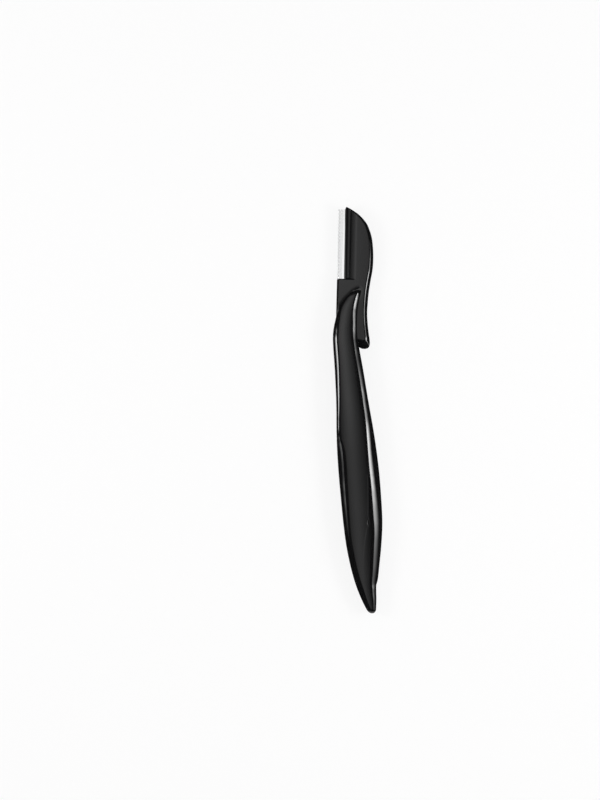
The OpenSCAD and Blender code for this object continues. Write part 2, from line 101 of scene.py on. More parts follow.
# Rolled edges of the handle, seen from above: share of the length, then on the right the
# widths in mm of the steep outer stretch, the slanting band and the lip and the slope where
# the band starts, then the three widths on the left
HANDLE_EDGES = np.array([
    [0.000, 0.30, 0.50, 0.30, 0.64, 0.70, 0.30, 0.30],
    [0.073, 0.42, 1.15, 0.50, 0.64, 1.30, 0.50, 0.40],
    [0.100, 0.40, 1.80, 0.60, 0.64, 1.30, 0.52, 0.45],
    [0.151, 0.42, 2.15, 0.80, 0.64, 1.15, 0.58, 0.55],
    [0.200, 0.65, 2.25, 0.90, 0.64, 0.92, 0.75, 0.60],
    [0.250, 0.88, 2.20, 0.90, 0.64, 0.76, 0.88, 0.60],
    [0.298, 0.98, 2.55, 0.75, 0.64, 0.84, 0.90, 0.80],
    [0.348, 1.22, 2.40, 0.60, 0.64, 0.85, 0.95, 1.00],
    [0.396, 1.55, 2.05, 0.45, 0.64, 0.92, 1.00, 1.05],
    [0.445, 1.75, 1.95, 0.35, 0.64, 1.12, 0.95, 1.10],
    [0.495, 1.75, 1.65, 0.30, 0.64, 1.00, 1.00, 1.00],
    [0.525, 1.50, 1.60, 0.30, 0.64, 0.35, 1.25, 0.60],
    [0.545, 1.34, 1.58, 0.30, 0.64, 0.45, 0.50, 0.50],
    [0.593, 1.02, 1.35, 0.30, 0.64, 0.50, 0.30, 0.50],
    [0.643, 0.82, 1.28, 0.30, 0.64, 0.56, 0.42, 0.50],
    [0.692, 0.64, 1.32, 0.30, 0.64, 0.56, 0.64, 0.50],
    [0.741, 0.55, 1.40, 0.30, 0.64, 0.66, 0.72, 0.50],
    [0.790, 0.58, 1.38, 0.30, 0.64, 0.66, 0.84, 0.50],
    [0.815, 0.64, 1.15, 0.30, 0.64, 0.62, 0.88, 0.50],
    [0.840, 0.58, 1.06, 0.30, 0.64, 0.60, 0.85, 0.50],
    [0.865, 0.50, 1.10, 0.30, 0.60, 0.60, 0.80, 0.60],
    [0.889, 0.66, 0.98, 0.30, 0.48, 0.56, 0.62, 0.50],
    [0.914, 0.64, 1.14, 0.30, 0.55, 0.48, 0.46, 0.42],
    [0.938, 0.66, 1.18, 0.28, 0.60, 0.38, 0.30, 0.24],
    [0.962, 0.60, 1.16, 0.25, 0.60, 0.34, 0.20, 0.16],
    [0.974, 0.64, 1.00, 0.20, 0.56, 0.32, 0.16, 0.15],
    [0.982, 0.95, 0.35, 0.20, 0.52, 0.32, 0.12, 0.14],
    [0.990, 1.10, 0.05, 0.15, 0.62, 0.32, 0.08, 0.12],
    [1.000, 0.50, 0.03, 0.10, 0.60, 0.30, 0.05, 0.10]])

# Slopes of a rolled edge: at the outline, at the end of the steep stretch, at the start of
# the slanting band and at its end
STEEP, STEEP_END, BAND_START, BAND_END = 0.74, 0.66, 0.64, 0.35

# Head outline, for stations from the thumb lever's end to the head's tip: share of the
# length, left and right edge as shares of the width, share of the full edge rounding
HEAD_SHARES = np.array([
    [-0.2205, 0.480, 0.560, 0.15],
    [-0.2145, 0.425, 0.618, 0.50],
    [-0.202, 0.350, 0.657, 0.80],
    [-0.184, 0.268, 0.674, 1.00],
    [-0.160, 0.152, 0.677, 1.00],
    [-0.126, 0.030, 0.663, 1.00],
    [-0.094, -0.060, 0.644, 1.00],
    [0.000, -0.090, 0.604, 1.00],
    [0.094, -0.090, 0.583, 1.00],
    [0.188, -0.087, 0.594, 1.00],
    [0.282, -0.082, 0.617, 1.00],
    [0.376, -0.086, 0.659, 1.00],
    [0.469, -0.090, 0.705, 1.00],
    [0.563, -0.092, 0.716, 0.96],
    [0.657, -0.094, 0.699, 0.88],
    [0.751, -0.095, 0.652, 0.78],
    [0.845, -0.098, 0.537, 0.60],
    [0.892, -0.102, 0.430, 0.50],
    [0.939, -0.104, 0.274, 0.42],
    [0.981, -0.100, 0.068, 0.35],
    [1.000, -0.072, -0.050, 0.10]])


def length(name, default, description):
    """A size, in mm here and in metres in Blender."""
    return bpy.props.FloatProperty(
        name=name, description=description, default=default * MM, min=0, unit="LENGTH", precision=5)


def place_of(name, default, description):
    """A place on either side of zero, in mm here and in metres in Blender."""
    return bpy.props.FloatProperty(
        name=name, description=description, default=default * MM, unit="LENGTH", precision=5)


def angle(name, default, description):
    """An angle, in degrees here and in radians in Blender."""
    return bpy.props.FloatProperty(
        name=name, description=description, default=default * DEGREE, subtype="ANGLE")


def colour(name, default, description):
    """A colour setting, in scene-linear red, green and blue."""
    return bpy.props.FloatVectorProperty(
        name=name, description=description, default=default, size=3, min=0, max=1, subtype="COLOR")


def number(name, default, description):
    """A plain number setting."""
    return bpy.props.FloatProperty(name=name, description=description, default=default, min=0)


class RazorHandleSettings(bpy.types.PropertyGroup):
    """Sizes of the two handle shells."""

    width: length("Width", 14.9, "Width of the handle where it is widest")
    thickness: length("Thickness", 8.8, "Thickness of the handle where it is thickest")
    crown: length("Crown", 0.5, "Rise of the domed face above its edges")
    tail_round: length("Tail rounding", 1.6, "Radius of the rounded tail tip")
    horn_round: length("Horn rounding", 1.1, "Radius of the rounded horn tip")
    seam: length("Seam", 0.07, "Rounding of the shells where they meet")
    crease: length("Crease", 0.012, "Rise of the face across its crease")
    nick: length("Nick", 0.12, "Depth of the small dent on the crease")
    cheek_inset: length("Cheek inset", 0.07, "Inset of the slot's cheeks at the left edge")


class RazorSlotSettings(bpy.types.PropertyGroup):
    """Sizes of the spaces inside the handle."""

    half_gap: length("Half slot", 1.8, "Half the height of the slot that the head folds into")
    reach: length("Reach", 43, "Radius of the slot's closed end about the hinge")
    spine_top: length("Spine top", 13.03, "Distance of the spine's top below the hinge")
    spine_x: length("Spine wall", 4.12, "Distance of the slot's wall from the hinge line")
    wall: length("Wall", 2, "Side wall around the hollows")
    rib: length("Rib", 2.4, "Thickness of the ribs between the hollows")
    bulkhead: length("Bulkhead", 5, "Solid length between the slot and the first hollow")
    tail_solid: length("Solid tail", 11, "Solid length at the tail")
    post_d: length("Post diameter", 1.5, "Diameter of the locating posts")
    post_h: length("Post height", 1.2, "Height of the locating posts")
    bore_d: length("Pin bore", 2.08, "Diameter of the pin's bore in the shells and head")
    pin_seat: length("Pin seat", 1.24, "Depth of the pin's bore in each cheek")


class RazorHeadSettings(bpy.types.PropertyGroup):
    """Sizes of the blade head."""

    length: length("Length", 42.6, "Length from the hinge axis to the tip")
    width: length("Width", 13.2, "Width from the guard's edge to the curved back")
    thickness: length("Thickness", 3, "Thickness of the head")
    lean: angle("Lean", 3.33, "Lean of the open head against the handle")
    heel_x: length("Heel reach", 3.72, "Reach of the heel block to the blade side")
    heel_y: length("Heel top", 16.1, "Height of the heel block's top above the hinge axis")
    hub_r: length("Hub radius", 4, "Radius of the hub around the pin")
    strip_x: length("Strip edge", 0.96, "Distance of the lowered strip from the hinge line")
    strip_step: length("Strip step", 0.28, "Width of the steep step down to the strip")
    back_dark: length("Back edge", 0.86, "Width of the steep stretch along the curved back")
    back_band: length("Back band", 0.35, "Width of the slanting band along the curved back")
    back_lip: length("Back lip", 0.36, "Width of the lip between the band and the face")
    front_edge: length("Front edge", 0.5, "Width of the steep stretch along the blade side")
    stud_d: length("Stud diameter", 1.5, "Diameter of the studs that hold the blade")
    lug_d: length("Lug diameter", 1, "Diameter of the stop lugs")
    lug_r: length("Lug distance", 2.8, "Distance of the stop lugs from the hinge axis")


class RazorGuardSettings(bpy.types.PropertyGroup):
    """Sizes of the perforated guard."""

    edge_x: length("Edge", 3.72, "Distance of the folded edge from the hinge line")
    inner_x: length("Inner edge", 1.5, "Distance of the inner edge past the hinge line")
    foil: length("Foil", 0.12, "Thickness of the foil")
    blade: length("Blade", 0.2, "Thickness of the blade inside the guard")
    blade_x: length("Blade edge", 3.4, "Distance of the cutting edge from the hinge line")
    blade_in: length("Blade back", 1.9, "Distance of the blade's back past the hinge line")
    ground: length("Ground width", 1.9, "Width of the blade's ground faces")
    margin_low: place_of("Margin start", -1.76, "Where the foil starts to slant")
    margin_high: place_of("Margin end", -1.34, "Where the foil is level again")
    window: length("Window", 1.5, "Length of the windows from the fold")
    wire: length("Wire", 0.45, "Width of the wires between the windows")
    band: length("End band", 0.55, "Length of the plain band at each end")
    count: bpy.props.IntProperty(
        name="Windows", description="Number of windows along the guard", default=19, min=1)


class RazorFinishSettings(bpy.types.PropertyGroup):
    """Colours and gloss of the finishes."""

    black: colour("Plastic", (0.004, 0.004, 0.0043), "Colour of the black plastic")
    black_rough: number("Plastic roughness", 0.055, "Roughness of the polished plastic")
    guard: colour("Guard steel", (0.93, 0.935, 0.94), "Colour of the guard's bright foil")
    blade: colour("Blade steel", (0.86, 0.865, 0.87), "Colour of the blade")
    pin: colour("Pin steel", (0.55, 0.55, 0.57), "Colour of the hinge pin")
    washer: colour("Washer steel", (0.50, 0.50, 0.52), "Colour of the friction washers")
    floor: colour("Floor", (0.92, 0.92, 0.92), "Colour of the floor")


class RazorStageSettings(bpy.types.PropertyGroup):
    """Camera and lamps."""

    camera_height: length("Camera height", 900, "Height of the camera above the razor")
    view_height: length("View height", 294.4, "Height of the framed area at the hinge")
    centre_x: place_of("View centre across", -20.85, "Middle of the view across the razor")
    centre_y: place_of("View centre along", 4.52, "Middle of the view along the razor")
    roll: angle("Roll", -1.93, "Turn of the camera about its own axis")
    overhead: number("Overhead", 1.14, "Brightness of the overhead panel")
    strip_right: number("Right strip", 22, "Brightness of the right strip lamp")
    strip_left: number("Left strip", 20, "Brightness of the left strip lamp")
    surround: number("Surround", 0.03, "Brightness of the dim surroundings")
    fill: number("Fill", 0.6, "Brightness of the soft fill light")


SETTINGS = {
    "razor_handle": RazorHandleSettings,
    "razor_slot": RazorSlotSettings,
    "razor_head": RazorHeadSettings,
    "razor_guard": RazorGuardSettings,
    "razor_finish": RazorFinishSettings,
    "razor_stage": RazorStageSettings,
}


# Curves and surfaces


def curve(table, column, s):
    """Smooth curve through a table's column: between two rows it is the cubic whose slopes
    at the rows are those of the lines that join their neighbours."""
    x, y = table[:, 0], table[:, column]
    before = np.maximum(np.arange(len(x)) - 1, 0)
    after = np.minimum(np.arange(len(x)) + 1, len(x) - 1)
    slope = (y[after] - y[before]) / (x[after] - x[before])
    i = np.clip(np.searchsorted(x, s, side="right") - 1, 0, len(x) - 2)
    d = x[i + 1] - x[i]
    u = (s - x[i]) / d
    return ((2 * u**3 - 3 * u**2 + 1) * y[i] + (u**3 - 2 * u**2 + u) * slope[i] * d
            + (3 * u**2 - 2 * u**3) * y[i + 1] + (u**3 - u**2) * slope[i + 1] * d)


def smooth(x, low, high):
    """Soft step from 0 at low to 1 at high: 3t squared less 2t cubed."""
    t = np.clip((x - low) / (high - low), 0, 1)
    return t * t * (3 - 2 * t)


def easing(count):
    """Numbers from 0 to 1 that start close together: one less the cosine over a quarter turn."""
    return 1 - np.cos(np.pi / 2 * np.arange(count) / (count - 1))


def roll(u, widths, slopes):
    """Drop of a rolled edge below its face at a distance u inside the outline. The slope is
    a straight line over each width, between its values at the ends, so the drop there is a
    parabola: inner slope times q, plus half the gain in slope times q squared."""
    drop = np.zeros(np.broadcast(u, widths[0]).shape)
    start = 0
    for width, outer, inner in zip(widths, slopes[:-1], slopes[1:]):
        q = 1 - np.clip((u - start) / width, 0, 1)
        drop = drop + width * (inner * q + (outer - inner) * q**2 / 2)
        start = start + width
    return drop


def spaced(marks, counts):
    """Columns spaced evenly over the stretches between marks, for all rows at once."""
    parts = [a + (b - a) * np.arange(n) / n for a, b, n in zip(marks[:-1], marks[1:], counts)]
    return np.concatenate(parts + [marks[-1]], axis=1)


def grid(x, y, z):
    """Array of points from arrays of their coordinates that fit each other."""
    return np.stack(np.broadcast_arrays(x, y, z), axis=2)


def ring_faces(rows, columns):
    """Corner numbers of the four-sided faces between rings of equally many points."""
    r, c = np.meshgrid(np.arange(rows - 1), np.arange(columns), indexing="ij")
    d = (c + 1) % columns
    faces = [r * columns + c, r * columns + d, (r + 1) * columns + d, (r + 1) * columns + c]
    return np.stack([f.ravel() for f in faces], axis=1)


def capped(rings):
    """Closed mesh through rings of equally many points, with a flat face at both ends."""
    rows, columns = rings.shape[:2]
    corners = np.arange(rows * columns).reshape(rows, columns)
    ends = [corners[0, ::-1].tolist(), corners[-1].tolist()]
    return rings, ring_faces(rows, columns).tolist() + ends


def wrapped(x, y, top, bottom):
    """Closed mesh whose rings run across over the top and back under the bottom."""
    return capped(grid(np.concatenate([x, x[:, ::-1]], axis=1), y,
                       np.concatenate([top, bottom[:, ::-1]], axis=1)))


def running(widths):
    """Sums of the first none, one, two and so on of several widths."""
    return [sum(widths[:k]) for k in range(len(widths) + 1)]


def arc(radius, angles):
    """Points of an arc about the origin."""
    return np.stack([radius * np.cos(angles), radius * np.sin(angles)], axis=1)


def between(a, b, y):
    """Outline up along one edge and back down along another, both given at heights y."""
    return np.concatenate([np.stack([a, y], axis=1), np.stack([b, y], axis=1)[::-1]])


def add_mesh(name, points, faces):
    """Mesh object in the scene from points and the corner numbers of its faces."""
    mesh = bpy.data.meshes.new(name)
    mesh.from_pydata(points, [], faces)
    piece = bpy.data.objects.new(name, mesh)
    bpy.context.scene.collection.objects.link(piece)
    return piece


def new_piece(name, points, faces, merge=0.002 * MM):
    """Tidy mesh object from an array of points and a list or array of faces."""
    piece = add_mesh(name, points.reshape(-1, 3).tolist(), [list(face) for face in faces])
    tidy_mesh(piece.data, merge)
    return piece


def tidy_mesh(mesh, merge, sharp=32):
    """Merges doubles, drops flat faces, turns the normals outwards and keeps edges sharp past
    an angle in degrees."""
    work = bmesh.new()
    work.from_mesh(mesh)
    bmesh.ops.remove_doubles(work, verts=work.verts, dist=merge)
    bmesh.ops.dissolve_degenerate(work, edges=work.edges, dist=merge / 2)
    bmesh.ops.recalc_face_normals(work, faces=work.faces)
    work.to_mesh(mesh)
    work.free()
    mesh.polygons.foreach_set("use_smooth", np.ones(len(mesh.polygons), bool))
    mesh.set_sharp_from_angle(angle=sharp * DEGREE)


def prism(outline, low, high):
    """Closed upright prism over an outline of points in a plane."""
    return capped(np.array([np.insert(outline, 2, z, axis=1) for z in (low, high)]))


def disc(x, y, d, low, high, chamfer=0):
    """Upright cylinder about a place, its ends narrowed over the height of a chamfer."""
    rings = [(d / 2, low), (d / 2, high)]
    if chamfer:
        rings = [(d / 2 - chamfer, low), (d / 2, low + chamfer),
                 (d / 2, high - chamfer), (d / 2 - chamfer, high)]
    angles = 2 * np.pi * np.arange(48) / 48
    return capped(np.array([np.insert([x, y] + arc(r, angles), 2, z, axis=1) for r, z in rings]))


def joined(parts):
    """Several meshes as one array of points and one list of faces."""
    points, faces, count = [], [], 0
    for p, f in parts:
        points.append(p.reshape(-1, 3))
        faces += [[i + count for i in face] for face in f]
        count += len(points[-1])
    return np.concatenate(points), faces


def carve(piece, steps):
    """Cuts closed meshes out of a piece, or joins them to it, one after another."""
    tools = []
    for operation, parts in steps:
        tool = new_piece("tool", *joined(parts))
        cut = piece.modifiers.new("carve", "BOOLEAN")
        cut.operation = operation
        cut.solver = "EXACT"
        cut.object = tool
        tools.append(tool)
    graph = bpy.context.evaluated_depsgraph_get()
    piece_mesh = bpy.data.meshes.new_from_object(piece.evaluated_get(graph))
    piece.modifiers.clear()
    piece.data = piece_mesh
    for tool in tools:
        bpy.data.objects.remove(tool)
    tidy_mesh(piece_mesh, 0.001 * MM)


def place(piece, turn, offset, flip=False):
    """Turns a piece's points about the upright axis and moves them, after mirroring them in
    the middle plane if asked."""
    mesh = piece.data
    co = np.empty(len(mesh.vertices) * 3)
    mesh.vertices.foreach_get("co", co)
    co = co.reshape(-1, 3)
    if flip:
        co[:, 2] *= -1
        mesh.flip_normals()
    c, s = np.cos(turn), np.sin(turn)
    x, y = co[:, 0], co[:, 1]
    co[:, 0], co[:, 1] = x * c - y * s, x * s + y * c
    mesh.vertices.foreach_set("co", (co + offset).ravel())
    mesh.update()


# Handle shells


class HandleOutline:
    """Outline of the handle at shares of its length, all as columns of numbers."""

    def __init__(self, handle, slot, s):
        tail_cap, horn_cap = (
            np.sqrt(1 - (1 - np.clip(share * HANDLE_L / radius, 0, 1)) ** 2)
            for share, radius in ((s, handle.tail_round), (1 - s, handle.horn_round)))
        left, right, full, crease = (curve(HANDLE_SHARES, i, s) for i in (1, 2, 3, 4))
        left, right, self.crease_x = (v * handle.width for v in (left, right, crease))
        self.y = TAIL_Y + s * HANDLE_L
        left = left + handle.cheek_inset * smooth(self.y, -slot.reach, 0.5 * MM - slot.reach)
        self.middle = (left + right) / 2
        self.half = (right - left) / 2 * tail_cap * horn_cap
        self.left = self.middle - self.half
        self.right = self.middle + self.half
        full = handle.thickness * full
        self.top = np.where(s < 0.5, full * tail_cap,
                            slot.half_gap + (full - slot.half_gap) * horn_cap)
        self.crown = handle.crown * np.minimum(1, 2 * self.half / handle.width)


def lean_of(x, y):
    """Cosine of a line's lean from the length, as a column: one over the root of one plus
    its squared slope."""
    return 1 / np.sqrt(1 + np.gradient(x, y)[:, None] ** 2)


def handle_shell(handle, slot, land):
    """One shell above the middle plane. Its face is a shallow dome, the height less the
    crown times the squared share of the half width, less the rolls along both edges and the
    step along the crease. Near the tail's step the right roll follows a line averaged over
    the neighbouring stations. The dent on the crease is a bell curve along it and a soft
    step across, in mm from it. Upright sides run down to a rounded seam. A height given as
    land flattens the face there."""
    quarter = easing(15)
    tail, horn, bend = handle.tail_round / HANDLE_L, handle.horn_round / HANDLE_L, 0.86
    s = np.unique(np.concatenate([
        quarter[:-1] * tail, np.linspace(tail, bend, 290), np.linspace(bend, 1 - horn, 60),
        1 - horn * quarter,
        (np.linspace(-0.2, 0.9, 12) * MM - slot.reach - TAIL_Y) / HANDLE_L]))[:, None]
    o = HandleOutline(handle, slot, s)
    shift = np.linspace(-3, 3, 13) * MM / HANDLE_L
    even = curve(HANDLE_SHARES, 2, np.clip(s + shift, 0, 1)).mean(axis=1, keepdims=True)
    kink = smooth(s, 0.045, 0.065) * (1 - smooth(s, 0.14, 0.17))
    fair = o.right + kink * handle.width * (even - curve(HANDLE_SHARES, 2, s))
    dome = 2 * o.crown / np.maximum(o.half, 1e-6)
    calm = 1, 1 - 0.4 * smooth(s, 0.972, 0.99)
    least_lean, least_width, blend, most = 0.45, 0.03, 0.02 * MM, 0.86
    edges = []
    for side, line in enumerate((fair, o.left)):
        slant = np.maximum(lean_of(line[:, 0], o.y[:, 0]), least_lean)
        widths = (curve(HANDLE_EDGES, 1 + 4 * side + i, s) for i in range(3))
        outer, band, lip = (np.maximum(width, least_width) * MM / slant for width in widths)
        start = BAND_START if side else curve(HANDLE_EDGES, 4, s)
        slopes = [STEEP * slant - dome, STEEP_END * slant - dome * 0.9, start * slant - dome * 0.8,
                  np.maximum(BAND_END * slant - dome * 0.9, 0.02), 0 * slant]
        edges.append(([outer, blend / slant, band, lip], [m * calm[side] for m in slopes]))
    room = most * 2 * o.half / sum(sum(widths) for widths, _ in edges)
    fit = np.minimum(1, np.maximum(room, 1e-4))
    edges = [([w * fit for w in widths], slopes) for widths, slopes in edges]
    ease = [np.minimum(1, 0.8 * (o.top - o.crown) / np.maximum(roll(0 * s, *edge), 1e-9))
            for edge in edges]

    right_stops = [np.minimum(fair - u, o.right - 0.004 * o.half) for u in running(edges[0][0])]
    left_stops = [o.left + u for u in running(edges[1][0])][::-1]
    low, high = left_stops[0], right_stops[-1]
    margin, tight = 0.25 * MM, 0.3 * MM
    crease = np.clip(o.crease_x, low + margin, high - margin)
    crease = np.where(low + tight > high - tight, (low + high) / 2, crease)
    near = np.minimum(0.22 * MM, (high - low) / 4)
    x = spaced([o.right, *right_stops[1:], crease + near, crease - near, *left_stops],
               [5, 5, 8, 5, 8, 12, 18, 5, 8, 5, 5])
    z = (o.top - o.crown * ((x - o.middle) / np.maximum(o.half, 1e-6)) ** 2
         - ease[0] * (roll(fair - x, *edges[0]) + edges[0][1][0] * np.clip(x - fair, 0, None))
         - ease[1] * roll(x - o.left, *edges[1]))
    off = (x - o.crease_x) / MM
    crease_half, nick_half, nick_tail, nick_at, nick_run = 0.2, 0.13, 0.6, 0.281, 0.009
    there = smooth(s, 0.1, 0.2) * (1 - smooth(s, 0.44, 0.5)) * smooth(off, -crease_half, crease_half)
    z = z + handle.crease * there * (1 - smooth(x, o.crease_x + 0.3 * MM, high))
    nick = np.exp(-((s - nick_at) / nick_run) ** 2) * smooth(off, -nick_half, nick_half)
    z = z - handle.nick * nick * (1 - smooth(off, nick_half, nick_tail))
    z = np.maximum(z, 0.02 * MM * np.minimum(1, o.top / MM))
    if land:
        z = np.minimum(z, land)
    seam = np.minimum(handle.seam, 0.3 * np.minimum(np.minimum(z[:, :1], z[:, -1:]), o.half))
    rim = [seam, 0.3 * seam, 0 * seam]
    x = np.concatenate([*(o.right - w for w in rim), x, *(o.left + w for w in rim[::-1])], axis=1)
    z = np.concatenate([*rim[::-1], z, *rim], axis=1)
    under = np.linspace(0, 1, 8)[1:-1]
    x = np.concatenate([x, x[:, -1:] + (x[:, :1] - x[:, -1:]) * under], axis=1)
    z = np.concatenate([z, 0 * s * under], axis=1)
    return grid(x, o.y, z), ring_faces(*x.shape)


def slot_wall(slot, closed, y):
    """Place across of the slot's slanting wall, which lies along the closed guard."""
    return slot.spine_x / np.cos(closed) - y * np.tan(closed)


def slot_plan(slot, closed):
    """Outline of the slot: open above the spine's top and to the left, with a slanting wall
    along the closed guard and an arc about the hinge at its end."""
    far = 60 * MM
    low = -np.sqrt(slot.reach**2 - slot_wall(slot, closed, -slot.reach) ** 2)
    end = arc(slot.reach, np.linspace(np.arctan2(low, slot_wall(slot, closed, low)),
                                      -np.pi / 2 - np.arcsin(9 * MM / slot.reach), 24))
    top = -slot.spine_top
    return np.concatenate([[[-far, far], [-far, end[-1, 1]]], end[::-1],
                           [[slot_wall(slot, closed, top), top], [far, top], [far, far]]])


def groove_plan(radius, half_width, start, end):
    """Outline of an arc-shaped groove about the hinge."""
    angles = np.linspace(start, end, 60)
    return np.concatenate([arc(radius + half_width, angles), arc(radius - half_width, angles)[::-1]])


def carve_shell(piece, handle, slot, head, back):
    """Cuts the slot, hollows, pin bore and stop groove into a shell. The front shell gets
    locating posts and the back one their sockets."""
    def at(y):
        return HandleOutline(handle, slot, np.atleast_1d((y - TAIL_Y) / HANDLE_L))

    closed = SWING - np.pi - head.lean
    hollow_count, hollow_share, groove_depth, chamfer = 3, 0.45, 0.5 * MM, 0.15 * MM
    top = -slot.reach - slot.bulkhead
    size = (top - TAIL_Y - slot.tail_solid - (hollow_count - 1) * slot.rib) / hollow_count
    lows = [top - (i + 1) * size - i * slot.rib for i in range(hollow_count)]
    parts = []
    for low in lows:
        y = np.linspace(low, low + size, 9)
        o = at(y)
        outline = between(o.right - slot.wall, o.left + slot.wall, y)
        parts.append(prism(outline, -MM, hollow_share * at(low).top[0]))
    parts.append(disc(0, 0, slot.bore_d, 0, slot.half_gap + slot.pin_seat))
    groove_half = head.lug_d / 2 + LUG_GAP
    spare = np.arcsin(groove_half / head.lug_r)
    groove = groove_plan(head.lug_r, groove_half, LUG_ANGLE - spare, LUG_ANGLE + SWING + spare)
    parts.append(prism(groove, MM, slot.half_gap + groove_depth))
    spine_y = -(slot.spine_top + slot.reach) / 2
    places = [((slot_wall(slot, closed, spine_y) + at(spine_y).right[0]) / 2, spine_y)]
    levels = [top + slot.bulkhead / 2, *(low - slot.rib / 2 for low in lows[:-1]),
              TAIL_Y + slot.tail_solid * 2 / 3]
    places += [(at(y).middle[0], y) for y in levels]
    if back:
        parts += [disc(x, y, slot.post_d + 2 * POST_GAP, -MM, slot.post_h + POST_GAP)
                  for x, y in places]
    steps = [("DIFFERENCE", [prism(slot_plan(slot, closed), -MM, slot.half_gap)]),
             ("DIFFERENCE", parts)]
    if not back:
        steps.append(("UNION", [disc(x, y, slot.post_d, -slot.post_h, MM, chamfer)
                                for x, y in places]))
    carve(piece, steps)


# Blade head


def head_outline(head, y):
    """Left and right edge of the head's plastic at heights y above the hinge axis, with the
    hub and the heel block, whose top corner is rounded."""
    s = y / head.length
    left = curve(HEAD_SHARES, 1, s) * head.width
    right = curve(HEAD_SHARES, 2, s) * head.width
    hub = -np.sqrt(np.maximum(head.hub_r**2 - y**2, 0))
    left = np.where(np.abs(y) < head.hub_r, np.minimum(left, hub), left)
    corner = 0.4 * MM
    inside = np.clip((y - head.heel_y + corner) / corner, 0, 1)
    heel = -head.heel_x + corner * (1 - np.sqrt(1 - inside**2))
    left = np.where((y >= 0) & (y <= head.heel_y), np.minimum(left, heel), left)
    return left, right


def head_body(head, rim):
    """The head as closed rings across it. The face is level up to a line and falls with the
    squared distance past it. Along the curved back it is a rolled edge, along the blade it
    rolls down into a lowered strip, its lever end is a slanting facet and around the horn
    of the open handle it dips a little."""
    half = head.thickness / 2
    low, high, step_y = HEAD_SHARES[0, 0] * head.length, head.length, head.heel_y
    near_tip, margin = 38 * MM, 0.9 * MM
    y = np.unique(np.concatenate([
        low + margin * easing(13),
        np.arange(low + margin, -MM, 0.3 * MM),
        np.arange(-MM, step_y, 0.2 * MM),
        np.arange(step_y + margin, near_tip, 0.3 * MM),
        np.linspace(-4.2, -2.6, 17) * MM,
        np.linspace(step_y - 0.5 * MM, step_y + margin, 29),
        near_tip + (high - near_tip) * np.sin(np.pi / 2 * np.arange(41) / 40)]))
    y = np.sort(np.append(y, step_y))[:, None]
    left, right = head_outline(head, y)
    above = np.argmax(y[:, 0] >= step_y) + 1
    left[above] = head_outline(head, y[above] + 1e-9)[0]
    share = curve(HEAD_SHARES, 3, y / head.length)
    spread = y[:, 0] + 1e-9 * np.arange(len(y))
    slant, slant_left = (lean_of(curve(HEAD_SHARES, side, y[:, 0] / head.length) * head.width, spread)
                         for side in (2, 1))
    slant = np.maximum(slant, 0.3)
    slant_left = np.maximum(np.where(y < -2 * MM, slant_left, 1), 0.4)
    swell = 1 + 0.9 * smooth(-y, 4.5 * MM, 6.5 * MM)
    dark = head.back_dark * (1 + 0.08 * smooth(y, 4 * MM, 8 * MM))
    back = [dark / slant, head.back_band * swell / slant, head.back_lip / slant]
    back_slopes = [STEEP * slant, BAND_START * slant, BAND_END * slant, 0 * slant]
    heel = (y > 0) & (y <= step_y)
    front = [w / slant_left for w in (head.front_edge + 0.15 * MM * heel, 0.03 * MM, 0.12 * MM)]
    front_slopes = [m * slant_left for m in (STEEP, 0.68, 0.12, 0)]
    width = right - left
    fit = np.minimum(1, 0.9 * width / (sum(back) + sum(front))) * np.maximum(share, 0.3)
    back = [w * fit for w in back]
    front = [w * np.maximum(fit, 0.8 * np.minimum(1, width / (3 * MM))) for w in front]

    stops_r = [right - u for u in running(back)]
    stops_l = [left + u for u in running(front)][::-1]
    step_x = head.strip_x
    ramp = [1.5 * MM, 0.85 * MM]
    cuts = [np.clip(place + 0 * y, stops_l[0], stops_r[-1]) for place in (
        step_x + sum(ramp), step_x + ramp[0], step_x + 0.01 * MM, step_x - head.strip_step,
        step_x - head.strip_step - 0.1 * MM)]
    x = spaced(stops_r + cuts + stops_l, [8, 8, 5, 18, 6, 12, 5, 3, 18, 3, 3, 6])

    rolls = roll(right - x, back, back_slopes) + roll(x - left, front, front_slopes)
    crown, crown_x = 0.0012 / MM, 3.2 * MM
    drop = strip_drop(head, x, y, ramp) + crown * np.clip(x - crown_x, 0, None) ** 2
    ledge_widths, ledge_slopes = [0.08 * MM, 0.2 * MM], [m + 0 * y for m in (3, 0.6, 0)]
    ledge = roll(np.clip(step_y - y, 0, None), ledge_widths, ledge_slopes)
    drop = drop + (y <= step_y) * (1 - smooth(x, 2.2 * MM, 2.8 * MM)) * ledge
    facet_slope, facet_x, facet_y = np.tan(24 * DEGREE), 6 * MM, -6.05 * MM
    facet = facet_slope * np.clip(facet_y - 0.12 * (x - facet_x) - y, 0, None)
    most, thick, thin, of_width = 0.86, 0.3 * MM, 0.12 * MM, 0.3
    slack = np.maximum(np.minimum(rolls, most * half), facet)
    top = half - slack - drop - horn_dip(head, rim, x, y)
    least = np.where(y > step_y + 0.01 * MM, thick, thin)
    top = np.maximum(top, np.minimum(least, of_width * width))
    down = np.maximum(half - slack, np.minimum(thin, of_width * width))
    return wrapped(x, y, top, -down)


